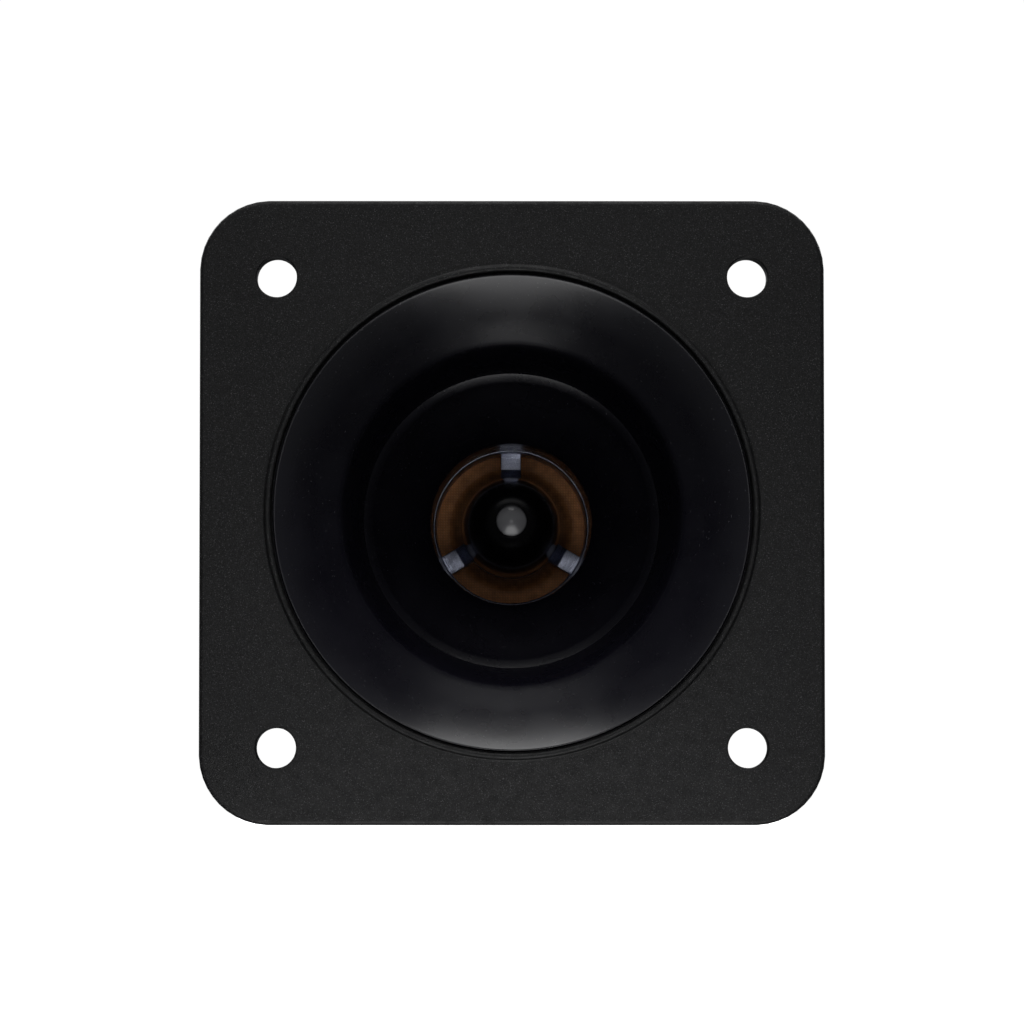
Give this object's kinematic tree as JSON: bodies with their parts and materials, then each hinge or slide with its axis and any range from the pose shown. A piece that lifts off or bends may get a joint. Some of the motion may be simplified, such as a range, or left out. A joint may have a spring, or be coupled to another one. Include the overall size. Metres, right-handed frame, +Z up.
{
  "type": "car horn tweeter",
  "caption": "Horn tweeter with a square fixing flange, round two-stage horn, bullet on a spoked throat ring, ring diaphragm, ferrite motor and push terminals.",
  "frame": {"origin": "on the horn's axis, in the rear face of the flange, which seats on the panel", "axes": "+Y along the horn's axis towards the motor, the mouth faces -Y; +Z up; +X to the right seen from the mouth side"},
  "size_m": [0.095, 0.0802, 0.095],
  "materials": {
    "powder_coat": "fine matte powder coat with a light speckle",
    "horn_plastic": "satin moulded black",
    "bare_aluminium": "turned, bare",
    "gloss_black": "polished black",
    "brown_phenolic": "thin phenolic film, satin",
    "former_film": "amber film",
    "copper_winding": "enamelled copper wire",
    "frame_plastic": "moulded black",
    "gasket_foam": "closed-cell foam",
    "zinc_steel": "zinc plated",
    "pole_steel": "turned, zinc plated",
    "ferrite": "ground ferrite",
    "black_steel": "black passivated",
    "red_plastic": "moulded red",
    "black_plastic": "moulded black",
    "brass": "bare",
    "spring_steel": "drawn wire",
    "red_insulation": "soft insulation",
    "black_insulation": "soft insulation"
  },
  "bodies": {
    "housing": {"mounting_flange": "powder_coat", "horn_flare": "horn_plastic", "throat_spider": "bare_aluminium", "bullet": "gloss_black", "bullet_screw": "zinc_steel", "inner_clamp_ring": "brass", "diaphragm_frame": "frame_plastic", "diaphragm_gasket": "gasket_foam", "top_plate": "black_steel", "magnet": "ferrite", "back_plate": "black_steel", "pole_piece": "pole_steel", "body_screw_1": "zinc_steel", "body_screw_2": "zinc_steel", "body_screw_3": "zinc_steel", "body_screw_4": "zinc_steel", "horn_screw_1": "black_steel", "horn_screw_2": "black_steel", "horn_screw_3": "black_steel", "horn_screw_4": "black_steel", "terminal_block": "black_plastic", "terminal_cover": "black_plastic", "terminal_screw_left": "zinc_steel", "terminal_screw_right": "zinc_steel", "red_button_spring": "spring_steel", "black_button_spring": "spring_steel", "red_contact": "brass", "black_contact": "brass", "red_lead": "red_insulation", "black_lead": "black_insulation"},
    "moving_coil": {"diaphragm": "brown_phenolic", "coil_former": "former_film", "voice_coil": "copper_winding"},
    "red_push": {"red_button": "red_plastic"},
    "black_push": {"black_button": "black_plastic"}
  },
  "joints": [
    {"name": "diaphragm_slide", "type": "slide", "parent": "housing", "child": "moving_coil", "axis": [0, 1, 0], "range_m": [-0.0003, 0.0003], "stiffness_N_per_m": 300},
    {"name": "red_button_slide", "type": "slide", "parent": "housing", "child": "red_push", "axis": [0, 0, 1], "range_m": [0, 0.0024], "stiffness_N_per_m": 250, "springref_m": -0.001, "deforming": ["red_button_spring"]},
    {"name": "black_button_slide", "type": "slide", "parent": "housing", "child": "black_push", "axis": [0, 0, 1], "range_m": [0, 0.0024], "stiffness_N_per_m": 250, "springref_m": -0.001, "deforming": ["black_button_spring"]}
  ]
}
